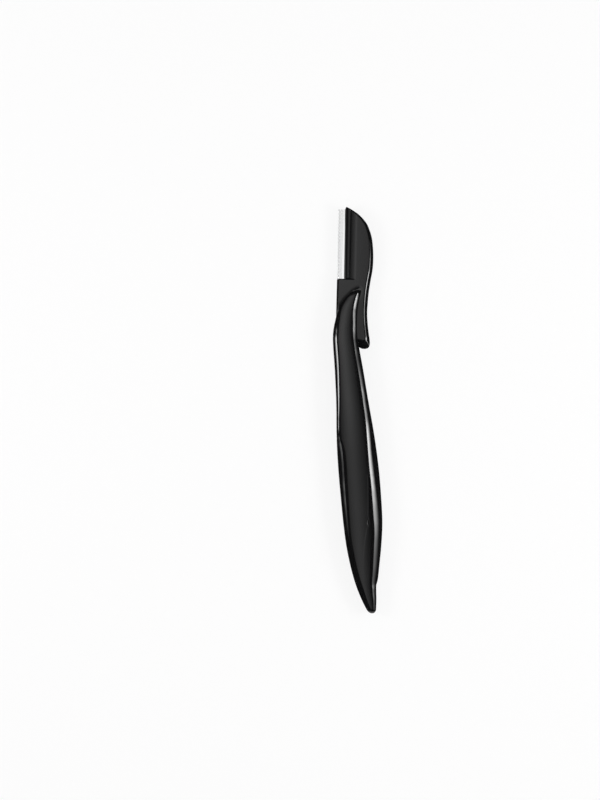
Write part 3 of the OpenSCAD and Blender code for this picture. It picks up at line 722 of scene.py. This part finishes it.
def strip_drop(head, x, y, ramp):
    """Drop of the strip along the blade below the face. Towards the strip the face leans
    over the two widths of the ramp, then comes a step, and the strip's own slope is least
    at its middle and grows with the squared distance from there. At the strip's lower end
    the drop is reached by a short slanting face, with a small groove beside the step."""
    inner = head.strip_x
    gentle = roll(x - inner, ramp, [m + 0 * y for m in (0.118, 0.083, 0)])
    beyond = np.clip(inner - x, 0, None)
    step_slope, end_slope, far_slope = 0.7, 0.72, 0.4
    steep = step_slope * np.minimum(beyond, head.strip_step)
    least, spread, slope, growth = 0.4, 0.6, 0.092, 0.007
    d = (np.clip(beyond - head.strip_step, 0, 3 * MM) / MM - least) / spread
    tilt = slope * (spread * d + least) + growth * (d**3 + (least / spread) ** 3)
    full = gentle + steep + tilt * MM
    lead, end_long, groove_long = 0.06 * MM, 0.4 * MM, 0.47 * MM
    run = y - head.heel_y - lead
    end = np.minimum(full, end_slope * np.clip(run, 0, None))
    past = np.clip((run - end_long) / (0.03 * MM), 0, 1)
    groove = np.clip(np.minimum(step_slope * run, far_slope * (groove_long - run)), 0, None)
    groove = groove * smooth(x, inner - 0.14 * MM, inner) * (
        1 - smooth(x, inner + 0.7 * MM, inner + 0.9 * MM))
    return np.maximum(end + (full - end) * past, groove)


def horn_rim(handle, slot):
    """Rim of the open handle's horn about the hinge: heights, left edge and right edge."""
    s = np.unique(np.append(np.linspace(0.8, 1, 60), 1 - handle.horn_round / HANDLE_L * easing(15)))
    o = HandleOutline(handle, slot, s)
    return o.y, o.left, o.right


def horn_dip(head, rim, x, y):
    """Dip of the head's face around the horn. With the distance from the rim, taken as
    positive outside it, the dip's slope grows evenly between two distances and then stays.
    A second slope is added from just outside the rim, and well under the horn the dip is
    level. It fades under the horn's right half."""
    c, s = np.cos(-head.lean), np.sin(-head.lean)
    hx, hy = x * c - y * s, x * s + y * c
    rim_y, rim_left, rim_right = rim
    line = between(rim_left, rim_right, rim_y)
    start, along = line[:-1], np.diff(line, axis=0)
    px, py = hx[..., None] - start[:, 0], hy[..., None] - start[:, 1]
    squared = np.maximum((along**2).sum(axis=1), 1e-18)
    share = np.clip((px * along[:, 0] + py * along[:, 1]) / squared, 0, 1)
    away = np.hypot(px - share * along[:, 0], py - share * along[:, 1]).min(axis=-1)
    left, right = (np.interp(hy, rim_y, side) for side in (rim_left, rim_right))
    inside = (hx > left) & (hx < right) & (hy < rim_y[-1])
    d = np.where(inside, -away, away)
    outer, inner, near, level = 0.95 * MM, 0.6 * MM, 0.15 * MM, -1.3 * MM
    slope, second = 0.065, 0.075
    grown = np.clip(outer - d, 0, outer - inner)
    dip = slope * (grown**2 / (2 * (outer - inner)) + np.clip(inner - d, 0, inner - level))
    dip = dip + second * np.clip(near - d, 0, near - level)
    across = smooth(hx - (left + right) / 2, 0, 1.2 * MM)
    share = 1 - across * (1 - 0.4 * smooth(hy, 7 * MM, 11 * MM))
    return dip * share * smooth(hy, -4 * MM, 0)


def cover_plan(head, gap):
    """Outline of the recess for the cover plate on the head's back."""
    past_heel, from_tip, from_back, from_blade = 2.6 * MM, 1.7 * MM, 2.4 * MM, 0.6 * MM
    y = np.linspace(head.heel_y - past_heel - gap, head.length - from_tip + gap, 17)
    s = y / head.length
    right = curve(HEAD_SHARES, 2, s) * head.width - from_back
    left = curve(HEAD_SHARES, 1, s) * head.width + from_blade
    x = np.maximum(right, left) + gap
    far = -head.heel_x - MM
    return np.concatenate([[[far, y[0]]], np.stack([x, y], axis=1), [[far, y[-1]]]])


def strip_ends(head):
    """Lower and upper end of the blade and its guard."""
    return head.heel_y + 0.15 * MM, head.length - 0.9 * MM


def blade_plan(head, outer, inner):
    """Outline of the blade's slot, with its top corner clipped."""
    low, high = strip_ends(head)
    return np.array([[-outer, low], [inner, low], [inner, high - CLIP_LONG],
                     [inner - CLIP_WIDE, high], [-outer, high]])


def stud_places(head):
    """Places of the three studs along the blade."""
    low, high = strip_ends(head)
    levels = np.linspace(low + 2 * head.stud_d, high - CLIP_LONG - head.stud_d, 3)
    return [(0.4 * MM, y) for y in levels]


def carve_head(piece, head, slot, guard):
    """Cuts the cover's recess, the blade's slot and the pin bore, then adds the studs and
    the two stop lugs."""
    half = head.thickness / 2
    foil_z = guard.blade / 2 + guard.foil
    cover_gap, blade_back, stud_top, lug_rise, chamfer = (
        v * MM for v in (0.06, 2.05, 0.6, 0.4, 0.1))
    cover = prism(cover_plan(head, cover_gap), -2 * half, -foil_z)
    blade = prism(blade_plan(head, guard.edge_x + MM, blade_back), -foil_z - MM, foil_z)
    bore = disc(0, 0, slot.bore_d, -2 * half, 2 * half)
    studs = [disc(x, y, head.stud_d, 0.12 * MM - half, stud_top, chamfer)
             for x, y in stud_places(head)]
    lug_x, lug_y = arc(head.lug_r, np.array([LUG_ANGLE + head.lean]))[0]
    tall = slot.half_gap + lug_rise
    lugs = disc(lug_x, lug_y, head.lug_d, -tall, tall, chamfer)
    carve(piece, [("DIFFERENCE", [cover]), ("DIFFERENCE", [blade, bore]), ("UNION", [*studs, lugs])])


# Guard


def guard_foil(head, guard):
    """Middle surface of the folded foil. Its path runs from the front's inner edge down a
    slight slant to the windows, round the fold as a half circle, and back. Along the blade
    each window is as wide as the gap between wires, and its end is a half circle."""
    low, high = strip_ends(head)
    pitch = (high - low - 2 * guard.band + guard.wire) / guard.count
    r = (pitch - guard.wire) / 2
    rise = 0.012 * MM
    level = guard.blade / 2 + guard.foil / 2 - rise
    middle = low + guard.band + np.arange(guard.count) * pitch + r
    across = middle[:, None] - r * np.cos(np.linspace(0, np.pi, 13))
    y = np.unique(np.concatenate([[low], across.ravel(), [high]]).round(9))[:, None]
    off = np.abs(y - middle).min(axis=1, keepdims=True)
    start = guard.window - guard.edge_x - r
    end = start + np.sqrt(np.maximum(r**2 - off**2, 0))
    inner = guard.inner_x - np.clip(y - high + CLIP_LONG, 0, None) * CLIP_WIDE / CLIP_LONG
    run = np.linspace(0, 1, 4)
    x = np.concatenate([end + (guard.margin_low - end) * run,
                        guard.margin_high + (inner - guard.margin_high) * run], axis=1)
    x = np.minimum(x, inner)
    slant = (x - guard.margin_low) / (guard.margin_high - guard.margin_low)
    z = level + rise * np.clip(slant, 0, 1)
    fold_x = guard.foil / 2 - guard.edge_x + level
    bend = np.linspace(0, np.pi, 11)
    path = [start, (start + fold_x) / 2]
    path_x = np.concatenate([path, fold_x - level * np.sin(bend), path[::-1]])
    path_z = np.concatenate([[level, level], level * np.cos(bend), [-level, -level]])
    whole = np.ones(len(y) - 1, bool)
    solid = np.abs((y[1:] + y[:-1]) / 2 - middle).min(axis=1) > r
    parts = []
    for points, keep in ((grid(x, y, z), whole), (grid(x, y, -z), whole),
                         (grid(path_x, y, path_z), solid)):
        rows, columns = points.shape[:2]
        faces = ring_faces(rows, columns).reshape(rows - 1, columns, 4)[keep, :-1]
        parts.append((points, faces.reshape(-1, 4)))
    return joined(parts)


def blade_leaf(head, guard):
    """The blade as closed rings across it. Its half thickness is a straight line from the
    fine edge over the ground width to the full leaf, and its top corner is clipped."""
    low, high = strip_ends(head)
    clip = high - CLIP_LONG
    y = np.unique(np.concatenate([np.linspace(low, clip, 30), np.linspace(clip, high, 9)]))[:, None]
    back = guard.blade_in - CLIP_WIDE / CLIP_LONG * np.clip(y - clip, 0, None)
    full = guard.ground / MM
    run = np.array([0, 0.04, 0.08, 0.7, 1.3, full - 0.05, full, full + 0.05]) * MM
    x = np.concatenate([run - guard.blade_x + 0 * y, back], axis=1)
    half = np.interp(x + guard.blade_x, [0, 0.05 * MM, guard.ground],
                     [0.006 * MM, 0.02 * MM, guard.blade / 2])
    return wrapped(x, y, half, -half)


# Materials


class Wire:
    """A value in a shader tree. Signs between values add Math nodes, and node() adds any
    other node from its type, its settings, and the values or links of its sockets."""

    def __init__(self, tree, socket=None):
        self.tree = tree
        self.socket = socket

    def node(self, kind, settings=None, sockets=None, out=0):
        """New node, as the wire of one of its outputs."""
        node = self.tree.nodes.new(kind)
        for key, value in (settings or {}).items():
            if key == "stops":
                ramp = node.color_ramp
                while len(ramp.elements) < len(value):
                    ramp.elements.new(0.5)
                for element, (position, grey) in zip(ramp.elements, value):
                    element.position = position
                    element.color = (grey, grey, grey, 1)
            else:
                setattr(node, key, value)
        for key, value in (sockets or {}).items():
            if isinstance(value, Wire):
                self.tree.links.new(value.socket, node.inputs[key])
            else:
                node.inputs[key].default_value = value
        return Wire(self.tree, node.outputs[out] if node.outputs else None)

    def math(self, operation, a, b=0.0):
        """New Math node between two values."""
        return self.node("ShaderNodeMath", {"operation": operation}, {0: a, 1: b})

    def __add__(self, other):
        return self.math("ADD", self, other)

    def __sub__(self, other):
        return self.math("SUBTRACT", self, other)

    def __rsub__(self, other):
        return self.math("SUBTRACT", other, self)

    def __mul__(self, other):
        return self.math("MULTIPLY", self, other)

    __radd__, __rmul__ = __add__, __mul__

    def ramp(self, stops):
        """Grey ramp through stops of place and value."""
        return self.node("ShaderNodeValToRGB", {"stops": stops}, {0: self})

    def step(self, low, high):
        """Soft step from 0 at low to 1 at high."""
        return self.node("ShaderNodeMapRange", {"interpolation_type": "SMOOTHSTEP"},
                         {0: self, 1: low, 2: high, 3: 0.0, 4: 1.0})


def new_material(name):
    """Empty material and a wire to start its tree from."""
    material = bpy.data.materials.new(name)
    material.use_nodes = True
    material.node_tree.nodes.clear()
    return material, Wire(material.node_tree)


def close_material(start, surface):
    """Ends a tree with its surface."""
    start.node("ShaderNodeOutputMaterial", None, {"Surface": surface})


def stretched(start, scale):
    """Object coordinates in metres, stretched by a scale along each axis."""
    place = start.node("ShaderNodeTexCoord", out=3)
    return start.node("ShaderNodeMapping", None, {"Vector": place, "Scale": scale})


def noise(start, vector, scale, detail=3.0, rough=0.5):
    """Cloudy grey pattern."""
    return start.node("ShaderNodeTexNoise", None,
                      {"Vector": vector, "Scale": scale, "Detail": detail, "Roughness": rough})


def mixed(start, factor, a, b):
    """Mix of two colours."""
    return start.node("ShaderNodeMix", {"data_type": "RGBA"},
                      {0: factor, 6: (*a, 1.0), 7: (*b, 1.0)}, out=2)


def softened(start):
    """Normal with the corners rounded over a small radius."""
    return start.node("ShaderNodeBevel", {"samples": 4}, {"Radius": 0.02 * MM})


def bump(start, strength, distance, height, normal):
    """Normal over a height pattern whose full rise is a distance in mm."""
    return start.node("ShaderNodeBump", None, {
        "Strength": strength, "Distance": distance * MM, "Height": height, "Normal": normal})


def polished_black(finish):
    """Polished black plastic: a faint moulded waviness in its colour, gloss and surface,
    smudges in the gloss, hairline polishing marks and softened corners."""
    material, start = new_material("polished_black")
    even = stretched(start, (1, 1, 1))
    swirl = noise(start, even, 260.0, 2.0)
    smudge = noise(start, even, 900.0, 4.0, 0.6).step(0.45, 0.75)
    hair = noise(start, stretched(start, (1.0, 0.06, 1.0)), 9000.0, 2.0)
    base = mixed(start, swirl, [c * 0.85 for c in finish.black], [c * 1.2 for c in finish.black])
    rough = finish.black_rough * (0.85 + 0.3 * swirl) + 0.035 * smudge
    wave = bump(start, 0.35, 0.004, swirl, softened(start))
    close_material(start, start.node("ShaderNodeBsdfPrincipled", None, {
        "Base Color": base, "Roughness": rough, "IOR": 1.5,
        "Normal": bump(start, 0.25, 0.0003, hair, wave)}))
    return material


def brushed_steel(name, steel, rough, grain, depth):
    """Ground steel: grain stretched along one axis, which shades the colour, the roughness
    and a fine bump, with a few deeper scratches and softened corners."""
    material, start = new_material(name)
    fine = noise(start, stretched(start, grain), 6000.0, 4.0, 0.6)
    coarse = noise(start, stretched(start, grain), 1400.0, 2.0)
    marks = stretched(start, [g * 0.7 + 0.01 for g in grain])
    scratch = noise(start, marks, 2500.0, 1.0).step(0.68, 0.75)
    base = mixed(start, fine * 0.5 + coarse * 0.5, [c * 0.86 for c in steel],
                 [min(1, c * 1.1) for c in steel])
    roughness = rough * (0.8 + 0.4 * fine) + 0.08 * scratch
    close_material(start, start.node("ShaderNodeBsdfPrincipled", None, {
        "Base Color": base, "Metallic": 1.0, "Roughness": roughness,
        "Normal": bump(start, 0.4, depth, fine - 0.6 * scratch, softened(start))}))
    return material


def ray(start, kind):
    """One for rays of a kind, and none for others."""
    return start.node("ShaderNodeLightPath", out=f"Is {kind} Ray")


def give(node, material):
    """Puts a material on a CAD node's own slots, on the object's side."""
    if not node.material_slots:
        node.data.materials.append(material)
    for slot in node.material_slots:
        slot.link = "OBJECT"
        slot.material = material


# Steel finishes: colour setting, roughness, stretch of the grain, depth of the bump in mm
STEELS = {
    "guard_foil": ("guard", 0.11, (1.0, 0.08, 1.0), 0.001),
    "blade_ground": ("blade", 0.16, (0.08, 1.0, 1.0), 0.002),
    "pin_ground": ("pin", 0.28, (1.0, 1.0, 0.1), 0.003),
    "washer_rolled": ("washer", 0.3, (0.1, 1.0, 1.0), 0.003),
}


def finish_of(name):
    """A finish by its name, made once."""
    finish = bpy.context.scene.razor_finish
    if name in bpy.data.materials:
        return bpy.data.materials[name]
    if name == "polished_black":
        return polished_black(finish)
    steel, *rest = STEELS[name]
    return brushed_steel(name, getattr(finish, steel), *rest)


def dress(piece, finish, body, slot, *nodes):
    """Gives a new piece its finish, the body it rides on, and the nodes it stands for."""
    piece.data.materials.clear()
    piece.data.materials.append(finish_of(finish))
    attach(piece, body)
    if nodes:
        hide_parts(*nodes)


# Operators


class RAZOR_OT_handle(bpy.types.Operator):
    """Builds the two handle shells"""

    bl_idname = "razor.handle"
    bl_label = "Handle shells"

    def execute(self, context):
        scene = context.scene
        handle, slot, head = scene.razor_handle, scene.razor_slot, scene.razor_head
        for name, node, back in (("shell_front", "handle_front", False),
                                 ("shell_back", "handle_back", True)):
            land = HINGE[2] if back else 0
            piece = new_piece(name, *handle_shell(handle, slot, land))
            carve_shell(piece, handle, slot, head, back)
            place(piece, 0, HINGE, flip=back)
            dress(piece, "polished_black", "handle", "black_gloss", node)
        return {"FINISHED"}


class RAZOR_OT_head(bpy.types.Operator):
    """Builds the blade head's body and finishes its cover plate"""

    bl_idname = "razor.head"
    bl_label = "Blade head"

    def execute(self, context):
        scene = context.scene
        head, slot, guard = scene.razor_head, scene.razor_slot, scene.razor_guard
        rim = horn_rim(scene.razor_handle, slot)
        piece = new_piece("head_shell", *head_body(head, rim))
        carve_head(piece, head, slot, guard)
        place(piece, -head.lean, HINGE)
        dress(piece, "polished_black", "head", "black_gloss", "head_body")
        give(frame["nodes"]["head_cover"], finish_of("polished_black"))
        return {"FINISHED"}


class RAZOR_OT_guard(bpy.types.Operator):
    """Builds the perforated guard and the blade inside it"""

    bl_idname = "razor.guard"
    bl_label = "Guard and blade"

    def execute(self, context):
        scene = context.scene
        head, guard = scene.razor_head, scene.razor_guard
        piece = new_piece("guard_foil", *guard_foil(head, guard))
        thick = piece.modifiers.new("foil", "SOLIDIFY")
        thick.thickness = guard.foil * 0.98
        thick.offset = 0
        leaf = new_piece("blade_leaf", *blade_leaf(head, guard), merge=0.001 * MM)
        holes = [disc(x, y, head.stud_d + 0.1 * MM, -MM, MM) for x, y in stud_places(head)]
        for part, finish, slot, node in ((piece, "guard_foil", "guard_steel", "guard"),
                                         (leaf, "blade_ground", "blade_steel", "blade")):
            carve(part, [("DIFFERENCE", holes)])
            place(part, -head.lean, HINGE)
            dress(part, finish, "head", slot, node)
        return {"FINISHED"}


class RAZOR_OT_fittings(bpy.types.Operator):
    """Finishes the hinge pin and the friction washers"""

    bl_idname = "razor.fittings"
    bl_label = "Hinge fittings"

    def execute(self, context):
        give(frame["nodes"]["pivot_pin"], finish_of("pin_ground"))
        for name in ("washer_front", "washer_back"):
            give(frame["nodes"][name], finish_of("washer_rolled"))
        return {"FINISHED"}


def lamp_panel(name, corners, strength, falloff):
    """Flat lamp between four corners. It glows with its strength times a falloff, which is
    a function of the two axes of its UV map."""
    panel = add_mesh(name, corners, [[0, 1, 2, 3]])
    panel.data.uv_layers.new(name="lamp").data.foreach_set("uv", [0, 0, 1, 0, 1, 1, 0, 1])
    material, start = new_material(name)
    uv = start.node("ShaderNodeUVMap", {"uv_map": "lamp"})
    u, v = (start.node("ShaderNodeSeparateXYZ", None, {0: uv}, out=axis) for axis in (0, 1))
    close_material(start, start.node("ShaderNodeEmission", None, {"Strength": strength * falloff(u, v)}))
    panel.data.materials.append(material)
    panel.visible_camera = False


def stops_of(profile):
    """Stops of a ramp from places and values: each place as a share of the way from the
    first to the last."""
    low, high = profile[0][0], profile[-1][0]
    return [((place - low) / (high - low), value) for place, value in profile]


def strip_lamp(name, side, strength, profile):
    """Long lamp beside the razor, seen from it between two angles from the upright. The
    profile lists places along Y in mm and how bright the lamp is there. Across, it is
    brightest near its upper edge."""
    low, high = profile[0][0] * MM, profile[-1][0] * MM
    far, lower, upper = 0.48, 65 * DEGREE, 39 * DEGREE
    x0, z0, x1, z1 = (far * f(a) for a in (lower, upper) for f in (np.sin, np.cos))
    corners = [(side * x0, low, z0), (side * x0, high, z0), (side * x1, high, z1),
               (side * x1, low, z1)]
    lamp_panel(name, corners, strength, lambda u, v: (
        u.ramp(stops_of(profile)) * v.step(0.0, 0.8) * (1 - v.step(0.94, 1.0))))


class RAZOR_OT_stage(bpy.types.Operator):
    """Sets up the floor, the lamps, the surroundings and the camera"""

    bl_idname = "razor.stage"
    bl_label = "Studio"

    def execute(self, context):
        scene = context.scene
        stage = scene.razor_stage
        self.floor(scene.razor_finish)
        self.overhead(stage)
        strip_lamp("strip_right", 1, stage.strip_right, [
            (-250, 0.0), (-225, 0.08), (-170, 0.09), (-150, 0.14), (-126, 0.24), (-108, 0.28),
            (-96, 0.29), (-86, 0.33), (-75, 0.39), (-61, 0.46), (-48, 0.6), (-40, 0.58),
            (-33, 0.8), (-26, 0.77), (-20, 0.75), (-12, 0.84), (-8, 0.91), (-4, 0.96), (0, 0.9),
            (4, 0.76), (14, 0.6), (20, 0.43), (26, 0.33), (31, 0.34), (38, 0.45), (45, 0.34),
            (51, 0.31), (56, 0.55), (61, 0.25), (73, 0.21), (79, 0.12), (120, 0.0)])
        strip_lamp("strip_left", -1, stage.strip_left, [
            (-160, 0.0), (-126, 0.02), (-104, 0.04), (-89, 0.08), (-79, 0.11), (-71, 0.13),
            (-64, 0.06), (-57, 0.14), (-50, 0.11), (-43, 0.04), (-35, 0.0), (-26, 0.0),
            (-20, 0.03), (-14, 0.25), (-8, 0.85), (0, 0.55), (5, 0.52), (12, 0.78), (18, 1.0),
            (30, 0.8), (64, 0.9), (72, 0.7), (80, 0.5), (88, 0.05), (105, 0.0)])
        self.surroundings(scene, stage)
        self.camera(scene, stage)
        scene.view_settings.view_transform = "Standard"
        return {"FINISHED"}

    def overhead(self, stage):
        """Panel high above, its brightness listed at angles from the upright. Across, it is
        brightest left of its middle and fades to the right, and along it fades to the tail."""
        z = 1600 * MM
        across = [(-12.5, 0.0), (-12, 0.15), (-10, 0.4), (-8, 0.65), (-6, 0.88), (-4, 1.0), (-2, 1.0),
                  (0, 0.85), (2.3, 0.63), (4.3, 0.45), (6.3, 0.3), (8, 0.12), (9.5, 0.04), (12, 0.0)]
        along = [(-22, 0.0), (-18, 0.6), (-12, 0.68), (-9.5, 0.66), (-5, 0.67), (-2.6, 0.65),
                 (-1.8, 0.72), (-1, 0.8), (0, 0.9), (1.5, 0.96), (3.3, 0.93), (4.6, 1.06),
                 (6.5, 1.0), (10, 1.0), (16, 0.6), (22, 0.0)]
        across, along = ([(z * np.tan(angle * DEGREE), glow) for angle, glow in profile]
                         for profile in (across, along))
        (x0, x1), (y0, y1) = ((profile[0][0], profile[-1][0]) for profile in (across, along))
        lamp_panel("overhead", [(x0, y0, z), (x1, y0, z), (x1, y1, z), (x0, y1, z)], stage.overhead,
                   lambda u, v: u.ramp(stops_of(across)) * v.ramp(stops_of(along)))

    def floor(self, finish):
        """Round floor just below the razor, plain and pale to the horizon."""
        rim = arc(60.0, 2 * np.pi * np.arange(96) / 96)
        floor = add_mesh("floor", np.insert(rim, 2, -0.01 * MM, axis=1).tolist(), [list(range(96))])
        material, start = new_material("floor_white")
        place = start.node("ShaderNodeTexCoord", out=3)
        span = start.node("ShaderNodeVectorMath", {"operation": "LENGTH"}, {0: place}, out=1)
        grain = noise(start, stretched(start, (1, 1, 1)), 220.0, 3.0)
        colour = mixed(start, grain, [c * 0.99 for c in finish.floor], finish.floor)
        cloth = start.node("ShaderNodeBsdfDiffuse", None, {"Color": colour})
        white = start.node("ShaderNodeEmission", None, {"Color": (1, 1, 1, 1), "Strength": 1.0})
        seen = sum(ray(start, kind) for kind in ("Camera", "Glossy", "Transmission"))
        share = seen.math("MINIMUM", seen, 1.0) * (0.85 + 0.15 * span.step(0.3, 0.9))
        close_material(start, start.node("ShaderNodeMixShader", None, {0: share, 1: cloth, 2: white}))
        floor.data.materials.append(material)

    def surroundings(self, scene, stage):
        """Dim world with a pale band along the horizon, and an even soft fill for the
        unpolished share of every surface."""
        world = bpy.data.worlds.new("surroundings")
        world.use_nodes = True
        world.node_tree.nodes.clear()
        start = Wire(world.node_tree)
        place = start.node("ShaderNodeTexCoord", out=0)
        height = start.node("ShaderNodeSeparateXYZ", None, {0: place}, out=2)
        diffuse = ray(start, "Diffuse")
        horizon = stage.surround + (1 - stage.surround) * (1 - height.step(0.17, 0.24))
        glow = horizon * (1 - diffuse) + stage.fill * diffuse
        light = start.node("ShaderNodeBackground", None, {"Color": (1, 1, 1, 1), "Strength": glow})
        start.node("ShaderNodeOutputWorld", None, {"Surface": light})
        scene.world = world

    def camera(self, scene, stage):
        """Camera straight above, with a long lens that frames the view height."""
        lens = bpy.data.cameras.new("camera")
        lens.sensor_width = 36
        lens.lens = 36 * stage.camera_height / stage.view_height
        camera = bpy.data.objects.new("camera", lens)
        camera.location = (stage.centre_x, stage.centre_y, HINGE[2] + stage.camera_height)
        camera.rotation_euler = (0, 0, stage.roll)
        scene.collection.objects.link(camera)
        scene.camera = camera


OPERATORS = (RAZOR_OT_handle, RAZOR_OT_head, RAZOR_OT_guard, RAZOR_OT_fittings, RAZOR_OT_stage)


class RAZOR_PT_panel(bpy.types.Panel):
    """Lists the razor's operators"""

    bl_idname = "RAZOR_PT_panel"
    bl_label = "Folding eyebrow razor"
    bl_space_type = "VIEW_3D"
    bl_region_type = "UI"
    bl_category = "Razor"

    def draw(self, context):
        for operator in OPERATORS:
            self.layout.operator(operator.bl_idname)


def register():
    for group in SETTINGS.values():
        bpy.utils.register_class(group)
    for operator in OPERATORS:
        bpy.utils.register_class(operator)
    bpy.utils.register_class(RAZOR_PT_panel)
    for name, group in SETTINGS.items():
        setattr(bpy.types.Scene, name, bpy.props.PointerProperty(type=group))


def unregister():
    for name in SETTINGS:
        delattr(bpy.types.Scene, name)
    for item in (RAZOR_PT_panel, *OPERATORS, *SETTINGS.values()):
        bpy.utils.unregister_class(item)


def main():
    """Builds everything."""
    register()
    for build in (bpy.ops.razor.handle, bpy.ops.razor.head, bpy.ops.razor.guard,
                  bpy.ops.razor.fittings, bpy.ops.razor.stage):
        build()


if __name__ == "__main__":
    main()
